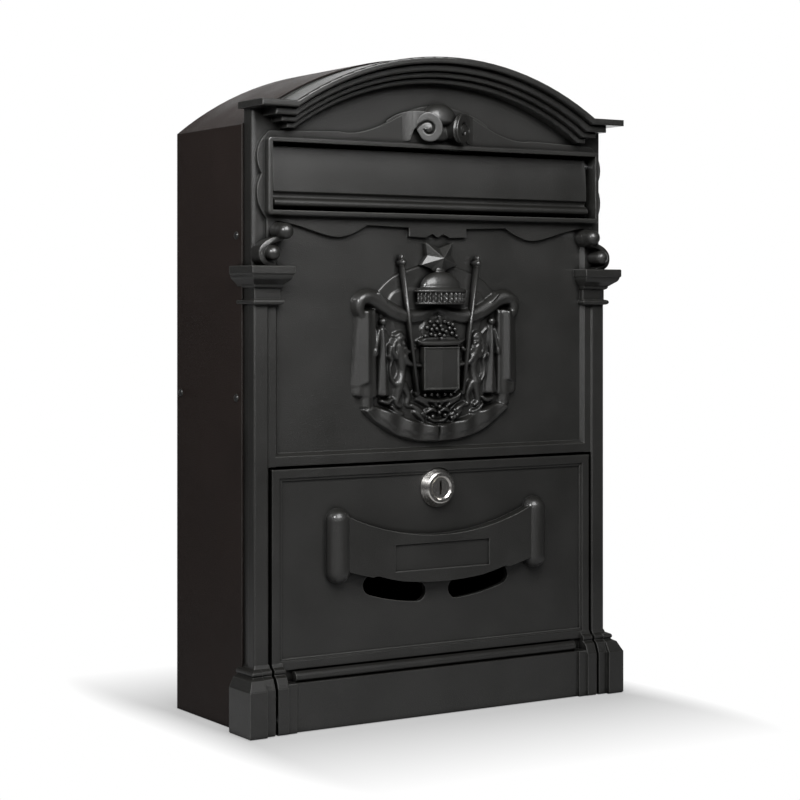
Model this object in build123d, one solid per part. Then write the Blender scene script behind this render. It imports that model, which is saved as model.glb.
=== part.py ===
from build123d import *
import math
import os

# Wall-mounted mailbox: a cast front with letter flap and drop-down door on an arched sheet-steel box.
# Sizes are in millimetres. Heights are measured up from the underside of the box; the wall is at
# y = 0 and the front faces -Y. The finished pieces are lowered so that the centre of the
# wall-hole pattern is the origin.

# Box of sheet steel
depth = 105.0              # wall to the face of the pilasters
shell_rise = 46.5          # rise of the arch above the springing
spring_rise = 10.7         # springing of the arch above the letter slot
sheet = 1.2                # gauge of the sheet steel
nest_gap = 0.2             # play between nested sheets and castings
overlap = 1.0              # how far joined bodies run into each other, and cutters past what they cut
back_flange = 13.0         # turned edge of the back panel
floor_flange = 12.0        # turned edge of the bottom panel
floor_setback = 12.0       # floor's front edge behind the face of the pilasters
wall_hole_radius = 3.5
wall_hole_spread = 150.0   # across, hole to hole
wall_hole_rise = 250.0     # up, hole to hole
mount_height = 200.0       # centre of the wall holes above the underside

# Cast front: plate, rim and flange
plate_setback = 3.5        # plate behind the face of the pilasters
plate_softness = 2.5       # rounding of the plate's upright edges
cast_wall = 4.0
rim_wall = 4.0
return_depth = 14.0        # face of the pilasters to the front edge of the sheet
flange_depth = 13.0        # flange that the sheet is riveted to
flange_wall = 2.5
edge_softness = 0.6        # rounding of the casting's front edges

# Pilasters, capitals and bases
pilaster_width = 9.6       # from the plate's edge to the door opening
pilaster_proud = 0.5       # beyond the plate's edge
pilaster_softness = 1.4    # rounding of the shafts' front edges
strip_width = 5.0          # lower strip along the inside of each pilaster
strip_setback = 1.0        # strips and rail behind the face of the pilasters
panel_bevel = 2.1          # slope from the strips and the rail down to the crest panel
capital_drop = 44.0        # top of the shafts below the top of the crest panel
capital_side_share = 0.62  # side projection of the capitals, as a share of their front projection
capital_inner_share = 0.44
base_side_share = 0.76
capital_reach = 20.0       # how far the capitals run back along the sides
base_reach = 17.0
base_front = 11.0          # plinth block before the face of the pilasters
base_inner_front = 8.4     # its lower part beside the door
base_inner_width = 6.4

# Crest panel, rail and door opening
lock_height = 141.0
lock_drop = 16.0           # lock's centre below the top of the door
door_gap = 1.6             # above the door
side_gap = 2.0             # beside the door
rail_height = 8.0
panel_height = 134.4

# Cornice
lip_overhang = 3.9         # ends of the top lip beyond the plate
cornice_radius = 198.0
cornice_drop = 1.0         # top of the cornice below the top of the sheet arch
cornice_level = 13.0       # flat cornice ends above the springing of the sheet arch
lip_height = 4.0
band_heights = [4.5, 3.5, 3.5]
lip_reach = 18.0           # front of the lip before the pilasters
band_reaches = [13.5, 9.5, 5.5]
band_insets = [7.1, 13.1, 18.6]   # ends of the bands inside the plate's edge
band_softness = 0.25       # rounding of the bands' front edges, as a share of their height

# Letter slot and flap
slot_half = 118.4
slot_margin = 9.7          # from the slot's end to the plate's edge
sill_height = 10.8         # sill above the crest panel
slot_height = 41.0
frame_bar = 2.9
frame_reach = 4.8
frame_corner = 2.5
frame_softness = 1.2
cartouche_relief = 2.9     # scrolled surround above the plate
flap_end_gap = 3.4         # between the flap's ends and the slot's ends
flap_low_gap = 2.4         # between the flap and the sill
flap_edge_height = 9.4     # leaf's lower edge above the bottom of the flap
flap_edge_setback = 1.2    # leaf's lower edge behind the face of the pilasters
flap_groove = 2.1          # hollow between the leaf and the finger lip
flap_lip_height = 4.7      # rolled finger lip
flap_lip_reach = 0.8
flap_back = 5.4            # back of the lip behind the face of the pilasters
stop_height = 6.0          # stops behind the flap's lower corners
stop_width = 10.0
stop_depth = 4.0
stop_gap = 0.4
rod_radius = 2.0
rod_drop = 6.3             # rod centre below the top of the slot
rod_setback = 7.0          # rod centre behind the face of the pilasters
knuckle_wall = 2.2
running_gap = 0.05         # radial play of the turning fits
lug_length = 8.2           # lugs that carry the rod, along the rod
lug_depth = 6.0
lug_inset = 2.6            # inner end of the lugs inside the slot's end
lug_above = 5.0
lug_below = 13.0
clip_wall = 1.2
clip_margin = 0.5
clip_screw_radius = 1.4
clip_screw_drop = 8.0      # below the rod
clip_screw_head = 1.8

# Door
door_wall = 4.0
door_sink = 2.0            # door panel below its rim
rim_band = 5.5
rim_step = 1.5             # ledge inside the rim
rim_rise = 7.0             # rim's lower edge above the plinth
plinth_height = 29.5
plinth_inset = 12.0        # ends of the plinth's middle board inside the door's edge
plinth_reach = 5.6
stile_width = 7.0          # end blocks of the door's plinth
shoulder_reach = 1.6       # step beside the end blocks, before the plinth
plinth_wall = 3.5
bead_radius = 3.4          # bead along the top of the plinth
bead_reach = 1.0           # its middle before the face of the pilasters
bead_rise = 3.0            # and above the plinth
tray_depth = 3.0           # stiffening edge behind the door
tray_wall = 4.0
pocket_wall = 2.5          # wall that carries the hinge pins' heads
hinge_height = 7.0
hinge_ahead = 1.5          # hinge line before the face of the pilasters
pin_radius = 2.5
pin_head = 2.0
pin_head_radius = 3.3
banner_half = 72.0         # centre of the banner's rolled ends
roll_radius = 7.5
roll_drop = 9.0            # tops of the rolls below the lock's centre
roll_length = 46.0
banner_reach = 5.5
name_half = 34.5
name_drop = 50.0           # lower edge of the name recess below the lock's centre
name_height = 16.5
name_sink = 1.2
name_above = 4.5           # banner above the name recess
name_below = 8.0
view_slot_height = 12.5
view_slot_start = 14.5
view_slot_end = 47.0
view_slot_drop = 14.2      # inner end of the slot's middle line below the name recess
view_slot_rise = 6.2       # from the inner end to the outer end

# Cam lock
bezel_radius = 12.4
bezel_face_radius = 9.8
bezel_reach = 5.5          # bezel before the door panel
barrel_radius = 8.5
barrel_back = 9.0          # barrel behind the face of the door panel
plug_radius = 6.2
nut_across = 22.0
nut_height = 3.0
cam_reach = 26.0           # tip of the cam from the lock's centre
cam_width = 14.0
cam_wall = 2.0
cam_gap = 0.3              # between the barrel and the cam
tail_side = 6.0            # square tail of the plug
plug_sink = 0.9            # plug below the bezel's face
key_slot_width = 1.6
key_slot_height = 8.4
key_slot_depth = 9.0
screw_radius = 2.0
screw_head = 2.4
washer_wall = 0.8

# Scrolls and crest
console_upper_radius = 5.8
console_lower_radius = 5.6
console_reach = 3.0
volute_radius = 8.6
volute_spread = 13.2       # from the middle to a volute's centre
volute_reach = 9.1
dome_radius = 11.8
crest_margin = 3.0         # foot of the crest above the rail
star_reach = 13.0

# Rivets
rivet_radius = 1.6
rivet_head = 2.5
rivet_dome = 1.4
rivet_tail = 2.2
rivet_tail_height = 0.9
rivet_inset = 7.0          # rivet line behind the front edge of the sheet
side_rivet_rises = [32.9, 130.4]   # above the rail
back_rivet_height = 200.0
back_rivet_inset = 6.0     # rivet line before the wall

# Sizes that follow from the ones above
plate_half = slot_half + slot_margin
shell_half = plate_half + nest_gap + sheet
shell_width = 2 * shell_half
opening_half = plate_half - pilaster_width
door_half = opening_half - side_gap
panel_half = opening_half - strip_width - panel_bevel
plinth_half = door_half - plinth_inset
lip_half = plate_half + lip_overhang
flap_half = slot_half - flap_end_gap
lug_inner = slot_half - lug_inset
lug_middle = lug_inner + lug_length / 2
pocket_half = door_half - stile_width - pocket_wall
door_height = lock_height + lock_drop
rail_low = door_height + door_gap
rail_top = rail_low + rail_height
panel_top = rail_top + panel_height
shaft_top = panel_top - capital_drop
slot_low = panel_top + sill_height
slot_top = slot_low + slot_height
shell_spring = slot_top + spring_rise
shell_apex = shell_spring + shell_rise
nest_apex = shell_apex - sheet - nest_gap
cornice_apex = shell_apex - cornice_drop
cornice_centre = cornice_apex - cornice_radius
cornice_return = shell_spring + cornice_level
rod_height = slot_top - rod_drop
flap_low = slot_low + flap_low_gap
knuckle_radius = rod_radius + running_gap + knuckle_wall
lock_bore = barrel_radius + nest_gap
roll_high = lock_height - roll_drop
roll_low = roll_high - roll_length
name_low = lock_height - name_drop
side_rivet_heights = [rail_top + rise for rise in side_rivet_rises]
crest_module = panel_height / 134.4   # unit of the crest's drawing


def ahead(distance):
    """y of the plane this far in front of the face of the pilasters."""
    return -(depth + distance)


def behind(distance):
    """y of the plane this far behind the face of the pilasters."""
    return -(depth - distance)


def slab(outline, back, front):
    """An outline in x and z given thickness from y = back forward to y = front."""
    return extrude(Plane.XZ.offset(-back) * outline, amount=back - front)


def along_x(outline, start, end):
    """An outline in y and z given length from x = start to x = end."""
    return extrude(Plane.YZ.offset(start) * outline, amount=end - start)


def block(x_low, x_high, back, front, z_low, z_high):
    """A box between two x, two y and two z planes."""
    size = (x_high - x_low, back - front, z_high - z_low)
    centre = ((x_low + x_high) / 2, (back + front) / 2, (z_low + z_high) / 2)
    return Pos(*centre) * Box(*size)


def rod_x(radius, start, end, y, z):
    """A cylinder along x."""
    return Pos((start + end) / 2, y, z) * Rot(0, 90, 0) * Cylinder(radius, end - start)


def rod_y(radius, back, front, x, z):
    """A cylinder along y."""
    return Pos(x, (back + front) / 2, z) * Rot(90, 0, 0) * Cylinder(radius, back - front)


def both_sides(piece):
    """A piece on the right and its mirror image on the left."""
    return piece + mirror(piece, about=Plane.YZ)


def arched(half, low, spring, apex):
    """Outline with straight sides and an arched top."""
    sides = Polyline((-half, spring), (-half, low), (half, low), (half, spring))
    crown = ThreePointArc((-half, spring), (0, apex), (half, spring))
    return make_face(sides + crown)


def arched_ring(half, spring, apex, wall):
    """Outline of an arched strip that is open at the bottom."""
    inner = arched(half - wall, -wall, spring, apex - wall)
    return arched(half, 0, spring, apex) - inner


def softened(piece, radius):
    """A piece with the edges of its front face rounded."""
    return fillet(piece.edges().group_by(Axis.Y)[0], radius)


def under_cornice(inset, half, low):
    """Area under the cornice line moved in by an inset, out to a half width."""
    level = cornice_return - inset
    bend = math.sqrt((cornice_radius - inset) ** 2 - (level - cornice_centre) ** 2)
    left = Polyline((-bend, level), (-half, level), (-half, low))
    right = Polyline((half, low), (half, level), (bend, level))
    arch = ThreePointArc((-bend, level), (0, cornice_apex - inset), (bend, level))
    return make_face(left + Line((-half, low), (half, low)) + right + arch)


def profile_edges(profile, place):
    """Edges along a moulding profile; a step of four numbers is an arc through its first point."""
    edges = Curve()
    start = profile[0]
    for step in profile[1:]:
        if len(step) == 2:
            edges += Line(place(*start), place(*step))
        else:
            edges += ThreePointArc(place(*start), place(*step[:2]), place(*step[2:]))
        start = step[-2:]
    return edges


def moulded_block(inner, outer, back, profile, inner_share, outer_share):
    """A block whose front and sides follow one moulding profile, mitred at its corners.

    The profile gives projection and height from the bottom up; the shares reduce the projection
    at the sides."""
    low, high = profile[0], profile[-1][-2:]

    def outer_edge(projection, height):
        return (outer + outer_share * projection, height)

    def inner_edge(projection, height):
        return (inner - inner_share * projection, height)

    def front_edge(projection, height):
        return (ahead(projection), height)

    across = profile_edges(profile, outer_edge)
    if inner_share > 0:
        across += profile_edges(profile, inner_edge)
    else:
        across += Line(inner_edge(*low), inner_edge(*high))
    across += Line(outer_edge(*low), inner_edge(*low))
    across += Line(outer_edge(*high), inner_edge(*high))
    upright = profile_edges(profile, front_edge)
    upright += Polyline(front_edge(*low), (back, low[1]), (back, high[1]), front_edge(*high))
    reach = depth + shell_width
    return slab(make_face(across), back, -reach) & along_x(make_face(upright), -reach, reach)


def base_profile(front):
    """Plinth block of the given projection and the stepped moulding above it."""
    return [(front - 0.8, 0), (front, 0.8), (front, 27.4), (front - 0.6, 28.2), (0.84 * front, 30.2),
            (0.66 * front, 33.6), (0.4 * front, 34.8), (0.36 * front, 35.4),
            (0.44 * front, 37.0, 0.28 * front, 38.6), (0.9, 39.4), (0.1, 41.2)]


def capital_profile():
    """Astragal, neck, fillet, splay, ovolo and slab, from the top of the shaft up."""
    steps = [(0.2, -1.6), (1.0, -1.3), (3.4, 0.2, 1.0, 1.6), (0.3, 2.0), (0.3, 8.3), (1.6, 8.7),
             (2.6, 9.6, 2.9, 10.7), (3.6, 10.9), (7.0, 13.0), (9.0, 14.4, 9.9, 16.4), (10.3, 16.6),
             (10.9, 17.2), (10.9, 21.2), (10.4, 21.7)]
    raised = []
    for step in steps:
        raised.append(tuple(value + shaft_top * (place % 2) for place, value in enumerate(step)))
    return raised


def cartouche_outline():
    """Scrolled outline of the surround of the letter slot, drawn for one half and mirrored."""
    top = slot_top + 6.4
    low = slot_low - 6.3
    edge = slot_half
    half = Spline((0, top + 20), (17, top + 18), (34, top + 10), (48, top + 4), (edge - 47.6, top + 1.6))
    half += Line((edge - 47.6, top + 1.6), (edge - 0.5, top))
    half += ThreePointArc((edge - 0.5, top), (edge + 7.5, top - 13), (edge + 4.5, top - 25.5))
    half += ThreePointArc((edge + 4.5, top - 25.5), (edge + 7, top - 42), (edge - 0.5, low))
    half += Spline((edge - 0.5, low), (edge - 12.6, low - 0.8), (edge - 32.6, low - 6),
                   (edge - 48.6, low - 8.6), (edge - 60.6, low - 5), (edge - 67.6, low - 1))
    half += Polyline((edge - 67.6, low - 1), (21, low - 2), (21, low - 7.5), (9, low - 8), (4, low - 5.6),
                     (0, low - 8))
    half += Line((0, low - 8), (0, top + 20))
    side = make_face(half)
    return side + mirror(side, about=Plane.YZ)


def cornice():
    """Arched cornice: a rounded lip, which returns along the sides, and three stepped bands under it."""
    heights = [lip_height] + band_heights
    reaches = [lip_reach] + band_reaches
    ends = [lip_half] + [plate_half - inset for inset in band_insets]
    bands = []
    inset = 0
    for height, reach, end in zip(heights, reaches, ends):
        strip = under_cornice(inset, end, slot_top) - under_cornice(inset + height, end, slot_top)
        inset += height
        back = behind(return_depth) if end == lip_half else behind(plate_setback + rim_wall)
        band = slab(strip, back, ahead(reach))
        bands.append(softened(band, band_softness * height))
    return Part() + bands


def rod_lugs():
    """Lugs behind the slot's ends that carry the rod."""
    back = behind(plate_setback + cast_wall)
    lug = block(lug_inner, plate_half - overlap, back + lug_depth, back - overlap, rod_height - lug_below,
                rod_height + lug_above)
    return both_sides(lug)


def rod_notches():
    """Room for the rod and the clip screws, cut into the lugs from behind."""
    back = clip_seat() + overlap
    end = plate_half - rim_wall
    notch = block(lug_inner - overlap, end, back, behind(rod_setback), rod_height - rod_radius,
                  rod_height + rod_radius)
    notch += rod_x(rod_radius, lug_inner - overlap, end, behind(rod_setback), rod_height)
    tip = clip_seat() - lug_depth + overlap
    notch += rod_y(clip_screw_radius, back, tip, lug_middle, rod_height - clip_screw_drop)
    return both_sides(notch)


def strip():
    """Strip beside a shaft that slopes down to the crest panel, on the right."""
    root = behind(plate_setback + cast_wall)
    end = opening_half + overlap
    section = Polyline((panel_half, root), (panel_half, behind(plate_setback)),
                       (panel_half + panel_bevel, behind(strip_setback)), (end, behind(strip_setback)),
                       (end, root), (panel_half, root))
    return extrude(Plane.XY.offset(rail_low) * make_face(section), amount=slot_low - rail_low)


def rail():
    """Rail above the door that slopes down to the crest panel."""
    root = behind(plate_setback + cast_wall)
    front = behind(strip_setback)
    section = Polyline((root, rail_low), (front, rail_low), (front, rail_top - panel_bevel),
                       (behind(plate_setback), rail_top), (root, rail_top), (root, rail_low))
    bar = along_x(make_face(section), -opening_half - overlap, opening_half + overlap)
    edge = bar.edges().filter_by(Axis.X).group_by(Axis.Z)[0].sort_by(Axis.Y)[0]
    return fillet(edge, edge_softness)


def pilaster():
    """Shaft with its inner strip, base and capital, on the right."""
    root = behind(plate_setback + cast_wall)
    shaft = block(opening_half, plate_half + pilaster_proud, root, ahead(0), 0, shaft_top)
    inner_end = opening_half + base_inner_width
    back = behind(base_reach)
    base = moulded_block(inner_end, plate_half, back, base_profile(base_front), 0, base_side_share)
    base += moulded_block(opening_half, inner_end + overlap, back, base_profile(base_inner_front), 0,
                          base_side_share)
    return strip() + softened(shaft, pilaster_softness) + base + capital()


def capital():
    """Moulded capital on the right."""
    return moulded_block(panel_half, plate_half, behind(capital_reach), capital_profile(),
                         capital_inner_share, capital_side_share)


def slot_surround():
    """Scrolled cartouche and the frame of the letter slot."""
    root = behind(plate_setback + cast_wall)
    middle = slot_low + slot_height / 2
    bar = RectangleRounded(2 * (slot_half + frame_bar), slot_height + 2 * frame_bar, frame_corner)
    frame = slab(Pos(0, middle) * bar, root, ahead(frame_reach))
    relief = slab(cartouche_outline(), root, ahead(cartouche_relief - plate_setback))
    return relief + softened(frame, frame_softness)


def front_casting():
    """Cast front with cornice, slot frame, pilasters, rail and the flange that the sheet is riveted to."""
    plate_front = behind(plate_setback)
    plate_back = behind(plate_setback + cast_wall)
    outline = under_cornice(0, plate_half, 0)
    core = under_cornice(rim_wall, plate_half - rim_wall, -rim_wall)
    cast = slab(outline, plate_back, plate_front)
    cast = fillet(cast.edges().group_by(Axis.Y)[0].filter_by(Axis.Z), plate_softness)
    cast += slab(outline - core, behind(return_depth), plate_back - overlap)
    for member in (cornice(), slot_surround(), both_sides(pilaster()), rail()):
        cast += member
    keeper_back = cam_seat() - nest_gap
    cast += block(-cam_reach, cam_reach, keeper_back, plate_back - overlap, rail_low + overlap,
                  rail_top - overlap)
    sheet_half = shell_half + nest_gap
    cast -= block(-sheet_half, sheet_half, 0, behind(return_depth), -overlap, shell_apex + overlap)
    ring = arched_ring(plate_half, shell_spring, nest_apex, flange_wall)
    cast += slab(ring, behind(return_depth + flange_depth), behind(return_depth - rim_wall))
    slot = block(-slot_half, slot_half, plate_back + overlap, ahead(2 * frame_reach), slot_low, slot_top)
    cast = cast - slot + rod_lugs() - rod_notches()
    stop_low = slot_low + 2 * overlap
    stop_front = behind(flap_back + stop_gap)
    stop_end = slot_half + stop_depth
    stop = block(stop_end - stop_width, stop_end, stop_front + stop_depth, stop_front, stop_low,
                 stop_low + stop_height)
    cast += both_sides(stop)
    cast -= block(-opening_half, opening_half, 0, ahead(lip_reach), -overlap, rail_low)
    for height in side_rivet_heights:
        cast -= rod_x(rivet_radius, -shell_width, shell_width, behind(return_depth + rivet_inset), height)
    bore_radius = pin_radius + running_gap
    bore = rod_x(bore_radius, opening_half - overlap, plate_half - overlap, ahead(hinge_ahead), hinge_height)
    return cast - both_sides(bore)


def letter_flap():
    """Leaning flap with a knuckle along its top, and a hollow and a rolled finger lip along its bottom."""
    edge = flap_low + flap_edge_height
    lip = flap_low + flap_lip_height
    top = rod_height + knuckle_radius - knuckle_wall / 5
    middle = (top + edge) / 2
    shoulder = behind(rod_setback - knuckle_radius + knuckle_wall / 4)
    brow = behind(flap_edge_setback)
    under = brow + edge_softness
    nape = (behind(rod_setback), top - 3.0)
    section = ThreePointArc((shoulder, top), (under, middle), (brow, edge))
    section += Line((brow, edge), (under, edge - edge_softness))
    hollow = (brow + flap_groove, (edge + lip) / 2)
    section += ThreePointArc((under, edge - edge_softness), hollow, (brow, lip))
    section += ThreePointArc((brow, lip), (ahead(flap_lip_reach), (lip + flap_low) / 2), (brow, flap_low))
    section += Polyline((brow, flap_low), (behind(flap_back), flap_low), (behind(flap_back), edge))
    section += ThreePointArc((behind(flap_back), edge), (behind(flap_back - 0.5), middle), nape)
    section += Line(nape, (shoulder, top))
    flap = along_x(make_face(section), -flap_half, flap_half)
    flap += rod_x(knuckle_radius, -flap_half, flap_half, behind(rod_setback), rod_height)
    return flap - rod_x(rod_radius + running_gap, -slot_half, slot_half, behind(rod_setback), rod_height)


def flap_rod():
    """Steel rod that the flap turns on, lying in the notched lugs."""
    half = plate_half - rim_wall - nest_gap
    return rod_x(rod_radius, -half, half, behind(rod_setback), rod_height)


def clip_seat():
    """y of the back of the rod lugs, where the clips lie."""
    return behind(plate_setback + cast_wall) + lug_depth


def rod_clips():
    """Two flat clips that close the notches in the lugs."""
    clip_half = lug_length / 2 - clip_margin
    clip = block(lug_middle - clip_half, lug_middle + clip_half, clip_seat() + clip_wall, clip_seat(),
                 rod_height - lug_below + clip_margin, rod_height + lug_above - clip_margin)
    hole = rod_y(clip_screw_radius, clip_seat() + 2 * clip_wall, clip_seat() - clip_wall, lug_middle,
                 rod_height - clip_screw_drop)
    return both_sides(clip - hole)


def clip_screws():
    """Pan-head screws through the clips into the lugs."""
    height = rod_height - clip_screw_drop
    seat = clip_seat() + clip_wall
    tip = clip_seat() - lug_depth + 2 * overlap
    shank = rod_y(clip_screw_radius, seat + overlap, tip, lug_middle, height)
    head = rod_y(2 * clip_screw_radius, seat + clip_screw_head, seat, lug_middle, height)
    head = fillet(head.edges().group_by(Axis.Y)[-1], 0.4 * clip_screw_head)
    return both_sides(shank + head)


def body_shell():
    """Bent sheet: two sides and the arched top."""
    ring = arched_ring(shell_half, shell_spring, shell_apex, sheet)
    shell = slab(ring, 0, behind(return_depth))
    for height in side_rivet_heights:
        shell -= rod_x(rivet_radius, -shell_width, shell_width, behind(return_depth + rivet_inset), height)
    return shell - rod_x(rivet_radius, -shell_width, shell_width, -back_rivet_inset, back_rivet_height)


def back_panel():
    """Back with a turned edge and four wall holes."""
    low = sheet + nest_gap
    outline = arched(plate_half, low, shell_spring, nest_apex)
    panel = slab(outline, 0, -sheet)
    ring = arched_ring(plate_half, shell_spring, nest_apex, sheet)
    panel += slab(ring, 0, -back_flange) & block(-plate_half, plate_half, 0, -back_flange, low, shell_apex)
    panel -= rod_x(rivet_radius, -shell_width, shell_width, -back_rivet_inset, back_rivet_height)
    for side in (-1, 1):
        for level in (-1, 1):
            across = side * wall_hole_spread / 2
            up = mount_height + level * wall_hole_rise / 2
            panel -= rod_y(wall_hole_radius, sheet, -2 * sheet, across, up)
    return panel


def bottom_panel():
    """Floor with turned-up sides, notched at the front for the cast legs and their flanges."""
    front = behind(floor_setback)
    notch = behind(return_depth + flange_depth + nest_gap)
    tongue = opening_half - nest_gap
    floor = block(-plate_half, plate_half, 0, notch, 0, sheet)
    floor += block(-tongue, tongue, notch + overlap, front, 0, sheet)
    wall = block(plate_half - sheet, plate_half, -back_flange - nest_gap, notch, 0, floor_flange)
    return floor + both_sides(wall)


def rivet(grip):
    """A rivet along +X with its set head outward and its formed head inward."""
    tail = -grip - rivet_tail_height
    half = ThreePointArc((0, rivet_dome), (0.68 * rivet_head, 0.75 * rivet_dome), (rivet_head, 0))
    half += Polyline((rivet_head, 0), (rivet_radius, 0), (rivet_radius, -grip), (rivet_tail, -grip),
                     (rivet_tail, tail), (0, tail), (0, rivet_dome))
    return Rot(0, 90, 0) * revolve(Plane.XZ * make_face(half), axis=Axis.Z)


def side_rivets():
    """Rivets through the sheet into the flange of the cast front."""
    rivets = []
    for height in side_rivet_heights:
        place = Pos(shell_half, behind(return_depth + rivet_inset), height)
        rivets.append(place * rivet(sheet + nest_gap + flange_wall))
    return both_sides(Part() + rivets)


def back_rivets():
    """Rivets through the sheet into the turned edge of the back."""
    return both_sides(Pos(shell_half, -back_rivet_inset, back_rivet_height) * rivet(2 * sheet + nest_gap))


def banner():
    """Scroll-shaped name holder with rolled ends and a recess for a name card."""
    root = behind(door_sink + overlap)
    high = roll_high - 3
    low = roll_low + 9
    brow = name_low + name_height + name_above
    outline = ThreePointArc((-banner_half, high), (0, brow), (banner_half, high))
    outline += Line((banner_half, high), (banner_half, low))
    outline += ThreePointArc((banner_half, low), (0, name_low - name_below), (-banner_half, low))
    outline += Line((-banner_half, low), (-banner_half, high))
    body = slab(make_face(outline), root, ahead(banner_reach))
    recess = Pos(0, name_low + name_height / 2) * Rectangle(2 * name_half, name_height)
    body -= slab(recess, ahead(banner_reach - name_sink), ahead(banner_reach + overlap))
    middle = (roll_low + roll_high) / 2
    straight = roll_high - roll_low - 2 * roll_radius
    roll = Pos(banner_half, ahead(0), middle) * Cylinder(roll_radius, straight)
    for end in (-1, 1):
        roll += Pos(banner_half, ahead(0), middle + end * straight / 2) * Sphere(roll_radius)
    roll = roll & block(0, shell_width, root, ahead(2 * roll_radius), 0, shell_spring)
    return body + both_sides(roll)


def view_slot():
    """Curved slot under the banner that shows whether there is mail."""
    low = name_low - view_slot_drop
    middle = ((view_slot_start + view_slot_end) / 2, low + view_slot_rise / 3)
    line = ThreePointArc((view_slot_start, low), middle, (view_slot_end, low + view_slot_rise))
    return slab(SlotArc(line, view_slot_height), behind(4 * door_wall), ahead(2 * roll_radius))


def door_rim():
    """Raised rim of the door panel with a ledge inside it."""
    back = lock_face() + overlap
    low = plinth_height + rim_rise
    rim = block(-door_half, door_half, back, ahead(0), low, door_height)
    inner = door_half - rim_band
    rim -= block(-inner, inner, back + overlap, ahead(overlap), low + rim_band, door_height - rim_band)
    ledge_half = door_half - overlap
    ledge = block(-ledge_half, ledge_half, back, behind(door_sink / 2), low + overlap, door_height - overlap)
    step = rim_band + rim_step
    inner = door_half - step
    ledge -= block(-inner, inner, back + overlap, ahead(overlap), low + step, door_height - step)
    return softened(rim, edge_softness) + ledge


def door_plinth():
    """Plinth under the door panel: middle board, bead and the moulded end blocks."""
    back = lock_face() + door_wall
    board = block(-plinth_half, plinth_half, back, ahead(plinth_reach), 0, plinth_height)
    plinth = softened(board, edge_softness)
    bead_half = plinth_half - 2 * overlap
    plinth += rod_x(bead_radius, -bead_half, bead_half, ahead(bead_reach), plinth_height + bead_rise)
    stile = moulded_block(door_half - stile_width, door_half, back, base_profile(base_inner_front), 0,
                          base_side_share)
    stile = stile & block(0, door_half, back, ahead(2 * lip_reach), 0, door_height)
    shoulder = block(plinth_half - overlap, door_half - stile_width + overlap, back,
                     ahead(plinth_reach + shoulder_reach), 0, plinth_height)
    return plinth + both_sides(stile + shoulder)


def door():
    """Drop-down door: sunk panel in a raised rim above a plinth, with name banner and view slots."""
    back = lock_face() + door_wall
    leaf = block(-door_half, door_half, back, lock_face(), 0, door_height)
    leaf += door_rim() + door_plinth()
    tray = block(-door_half, door_half, back + tray_depth, back - overlap, plinth_height, door_height)
    tray_half = door_half - tray_wall
    tray -= block(-tray_half, tray_half, back + 2 * tray_depth, ahead(0), plinth_height + tray_wall,
                  door_height - tray_wall)
    leaf += tray
    leaf -= block(-pocket_half, pocket_half, back + overlap, ahead(plinth_reach - door_wall), plinth_wall,
                  plinth_height - plinth_wall)
    head_room = rod_x(pin_head_radius + nest_gap, pocket_half - 4 * pin_head, pocket_half, ahead(hinge_ahead),
                      hinge_height)
    leaf -= both_sides(head_room)
    leaf += banner()
    leaf -= both_sides(view_slot())
    leaf -= rod_y(lock_bore, 0, ahead(lip_reach), 0, lock_height)
    leaf -= rod_y(bezel_radius + nest_gap, lock_face(), ahead(lip_reach), 0, lock_height)
    bore_radius = pin_radius + running_gap
    bore = rod_x(bore_radius, pocket_half - overlap, door_half + overlap, ahead(hinge_ahead), hinge_height)
    return leaf - both_sides(bore)


def hinge_pin():
    """Headed pin from the pocket of the door's plinth out into the base of a pilaster, on the right."""
    tip = plate_half - 2 * overlap
    shank = rod_x(pin_radius, pocket_half - pin_head / 4, tip, ahead(hinge_ahead), hinge_height)
    head = rod_x(pin_head_radius, pocket_half - pin_head, pocket_half, ahead(hinge_ahead), hinge_height)
    return shank + head


def lock_face():
    """y of the door panel's face, where the lock's bezel seats."""
    return behind(door_sink)


def lock_housing():
    """Conical bezel and the barrel behind it."""
    bore = plug_radius + running_gap
    mouth = bezel_reach - 1.2
    half = Polyline((bore, mouth), (bore + 1.2, bezel_reach), (bezel_face_radius - 0.8, bezel_reach),
                    (bezel_face_radius, bezel_reach - 0.5), (bezel_radius, 1.0), (bezel_radius, 0),
                    (barrel_radius, 0), (barrel_radius, -barrel_back), (bore, -barrel_back), (bore, mouth))
    turned = revolve(Plane.XZ * make_face(half), axis=Axis.Z)
    return Pos(0, lock_face(), lock_height) * Rot(90, 0, 0) * turned


def lock_nut():
    """Hexagon nut that clamps the barrel to the door."""
    nut = RegularPolygon(nut_across / 2, 6, major_radius=False) - Circle(barrel_radius)
    seat = lock_face() + door_wall
    return Pos(0, 0, lock_height) * slab(nut, seat + nut_height, seat)


def cam_seat():
    """y of the cam's front, just behind the barrel."""
    return lock_face() + barrel_back + cam_gap


def lock_plug():
    """Turning plug with a key slot in front and a square tail for the cam."""
    front = lock_face() - bezel_reach + plug_sink
    tail = tail_side / 2
    plug = rod_y(plug_radius, cam_seat(), front, 0, lock_height)
    plug += block(-tail, tail, cam_seat() + cam_wall - nest_gap / 2, cam_seat() - overlap, lock_height - tail,
                  lock_height + tail)
    plug -= block(-key_slot_width / 2, key_slot_width / 2, front + key_slot_depth, front - overlap,
                  lock_height - key_slot_height / 2, lock_height + key_slot_height / 2)
    return plug - rod_y(screw_radius, cam_seat() + 2 * cam_wall, cam_seat() - 2 * overlap, 0, lock_height)


def lock_cam():
    """Flat cam with a square hole and a rounded tip, pointing sideways when unlocked."""
    end = cam_reach - cam_width / 2
    hole = tail_side + 2 * running_gap
    outline = Circle(cam_width / 2) + Pos(end, 0) * Circle(cam_width / 2)
    outline += Pos(end / 2, 0) * Rectangle(end, cam_width)
    outline -= Rectangle(hole, hole)
    return Pos(0, 0, lock_height) * slab(outline, cam_seat() + cam_wall, cam_seat())


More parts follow.
